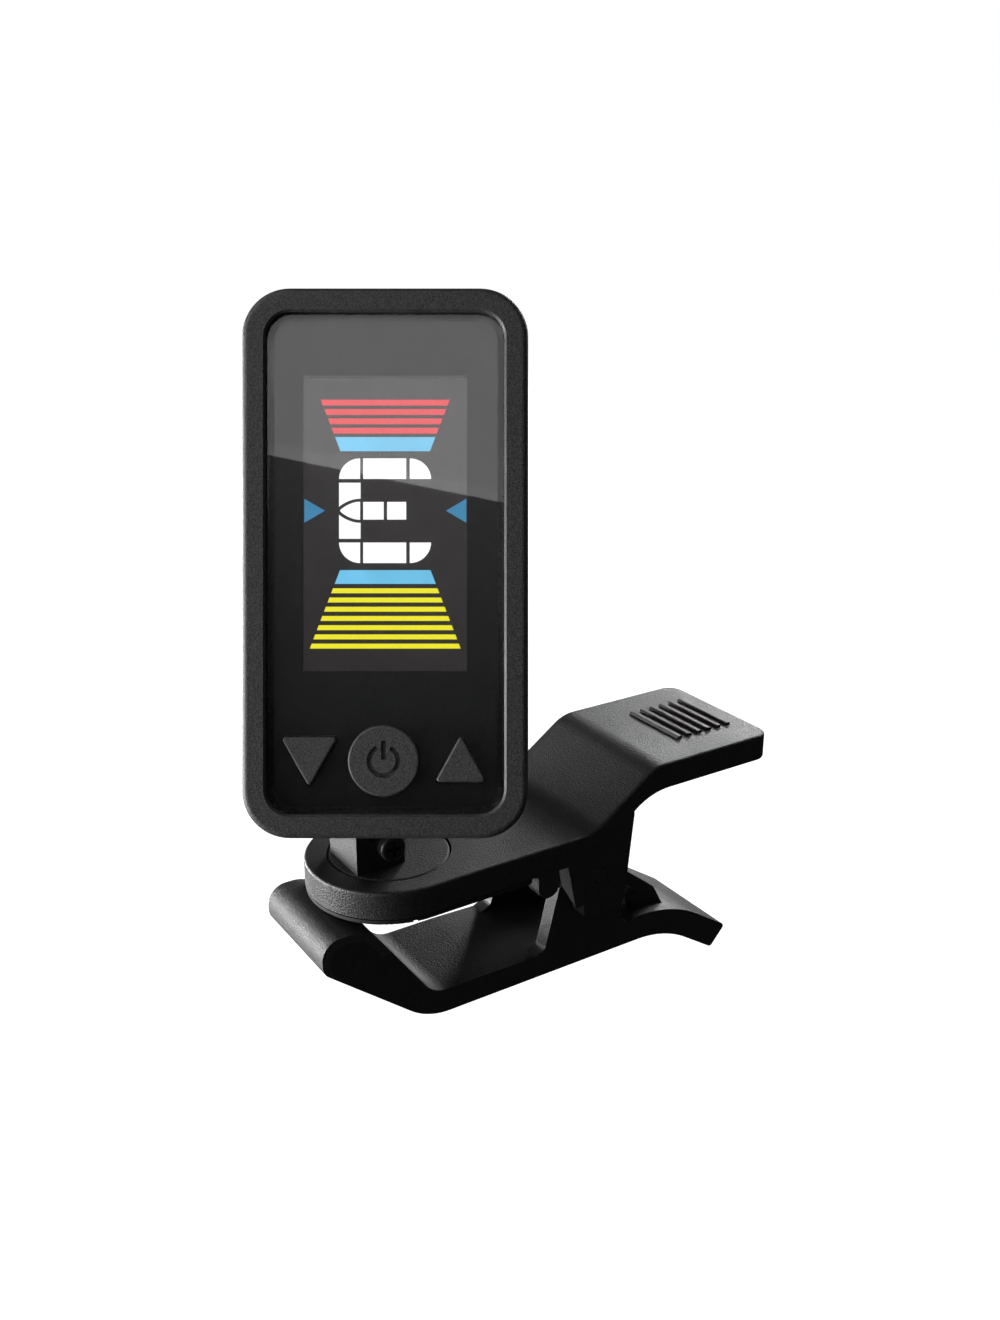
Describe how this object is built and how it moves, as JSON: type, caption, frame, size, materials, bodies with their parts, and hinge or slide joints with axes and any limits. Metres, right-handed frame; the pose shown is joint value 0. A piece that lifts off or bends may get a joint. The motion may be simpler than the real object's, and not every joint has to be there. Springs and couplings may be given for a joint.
{
  "type": "clip-on instrument tuner",
  "caption": "Clip-on tuner: sprung padded clip with a swivelling pedestal, tilting arm and ball-mounted colour display head with three front keys.",
  "frame": {"origin": "on the swivel axis, at the clamping face of the upper jaw's pad", "axes": "+X from the clip's nose to its handle, +Z away from the clamped board, +Y across the clip"},
  "size_m": [0.0665, 0.0354, 0.0835],
  "materials": {
    "jaw_plastic": "fine-grained moulded black plastic",
    "case_plastic": "fine-grained moulded black plastic",
    "button_plastic": "fine-textured dark grey plastic",
    "pad_rubber": "smooth matt black rubber",
    "panel_acrylic": "smoked glossy acrylic",
    "lcd_cell": "polarised glass",
    "print_film": "dark printed colour film",
    "light_guide": "translucent white light guide",
    "white_plastic": "matt white plastic",
    "board_laminate": "green solder mask on glass-fibre laminate",
    "chip_epoxy": "matt black epoxy",
    "steel": "zinc-plated steel",
    "black_steel": "black-oxide steel",
    "spring_steel": "drawn spring wire",
    "cell_can": null,
    "contact_nickel": "nickel-plated spring strip",
    "pickup_brass": "brass plate with white ceramic",
    "zebra_rubber": "striped silicone"
  },
  "bodies": {
    "upper_clip": {"upper_jaw": "jaw_plastic", "upper_jaw_pad": "pad_rubber", "hinge_pin": "black_steel", "torsion_spring": "spring_steel"},
    "lower_clip": {"lower_jaw": "jaw_plastic", "lower_jaw_pad": "pad_rubber"},
    "turntable": {"swivel_base": "jaw_plastic", "swivel_washer": "steel", "swivel_screw": "steel", "tilt_screw": "black_steel", "tilt_nut": "black_steel"},
    "arm": {"tilt_arm": "jaw_plastic"},
    "stud": {"ball_stud": "jaw_plastic"},
    "head": {"front_bezel": "case_plastic", "window_panel": "panel_acrylic", "lcd_glass": "lcd_cell", "lcd_color_film": "print_film", "backlight_plate": "light_guide", "backlight_leds": "white_plastic", "zebra_strips": "zebra_rubber", "lcd_frame": "white_plastic", "main_board": "board_laminate", "controller_chip": "chip_epoxy", "crystal_can": "cell_can", "board_parts": "chip_epoxy", "tact_switches": "steel", "battery_cell": "cell_can", "battery_contact_minus": "contact_nickel", "battery_contact_plus": "contact_nickel", "rear_cover": "case_plastic", "case_screws": "black_steel", "ball_socket": "jaw_plastic", "socket_screws": "black_steel", "piezo_disc": "pickup_brass"},
    "power_key": {"power_button": "button_plastic"},
    "down_key": {"down_button": "button_plastic"},
    "up_key": {"up_button": "button_plastic"},
    "door": {"battery_door": "case_plastic"}
  },
  "joints": [
    {"name": "jaw_hinge", "type": "hinge", "parent": "upper_clip", "child": "lower_clip", "pos_m": [0.0226, 0, -0.00187], "axis": [0, -1, 0], "range_deg": [0, 30], "stiffness_Nm_per_rad": 0.2, "springref_deg": -68.75, "deforming": ["torsion_spring"]},
    {"name": "base_swivel", "type": "hinge", "parent": "upper_clip", "child": "turntable", "pos_m": [0, 0, 0.0039], "axis": [0, 0, 1], "range_deg": [-180, 180]},
    {"name": "arm_tilt", "type": "hinge", "parent": "turntable", "child": "arm", "pos_m": [-0.00165, 0, 0.0065], "axis": [0, 1, 0], "range_deg": [-10, 20]},
    {"name": "head_turn", "type": "hinge", "parent": "arm", "child": "stud", "pos_m": [0.0013, 0, 0.0223], "axis": [0.1835, 0, 0.983], "range_deg": [-57, 33]},
    {"name": "head_nod", "type": "hinge", "parent": "stud", "child": "head", "pos_m": [0.0013, 0, 0.0223], "axis": [0.8396, -0.5432, 0], "range_deg": [-45, 5]},
    {"name": "power_press", "type": "slide", "parent": "head", "child": "power_key", "axis": [0.5081, 0.7854, -0.3535], "range_m": [0, 0.0004], "stiffness_N_per_m": 800, "springref_m": -0.0006},
    {"name": "down_press", "type": "slide", "parent": "head", "child": "down_key", "axis": [0.5081, 0.7854, -0.3535], "range_m": [0, 0.0004], "stiffness_N_per_m": 800, "springref_m": -0.0006},
    {"name": "up_press", "type": "slide", "parent": "head", "child": "up_key", "axis": [0.5081, 0.7854, -0.3535], "range_m": [0, 0.0004], "stiffness_N_per_m": 800, "springref_m": -0.0006},
    {"name": "door_twist", "type": "hinge", "parent": "head", "child": "door", "pos_m": [0.00348, 0.00336, 0.04281], "axis": [-0.5081, -0.7854, 0.3535], "range_deg": [0, 40]}
  ]
}
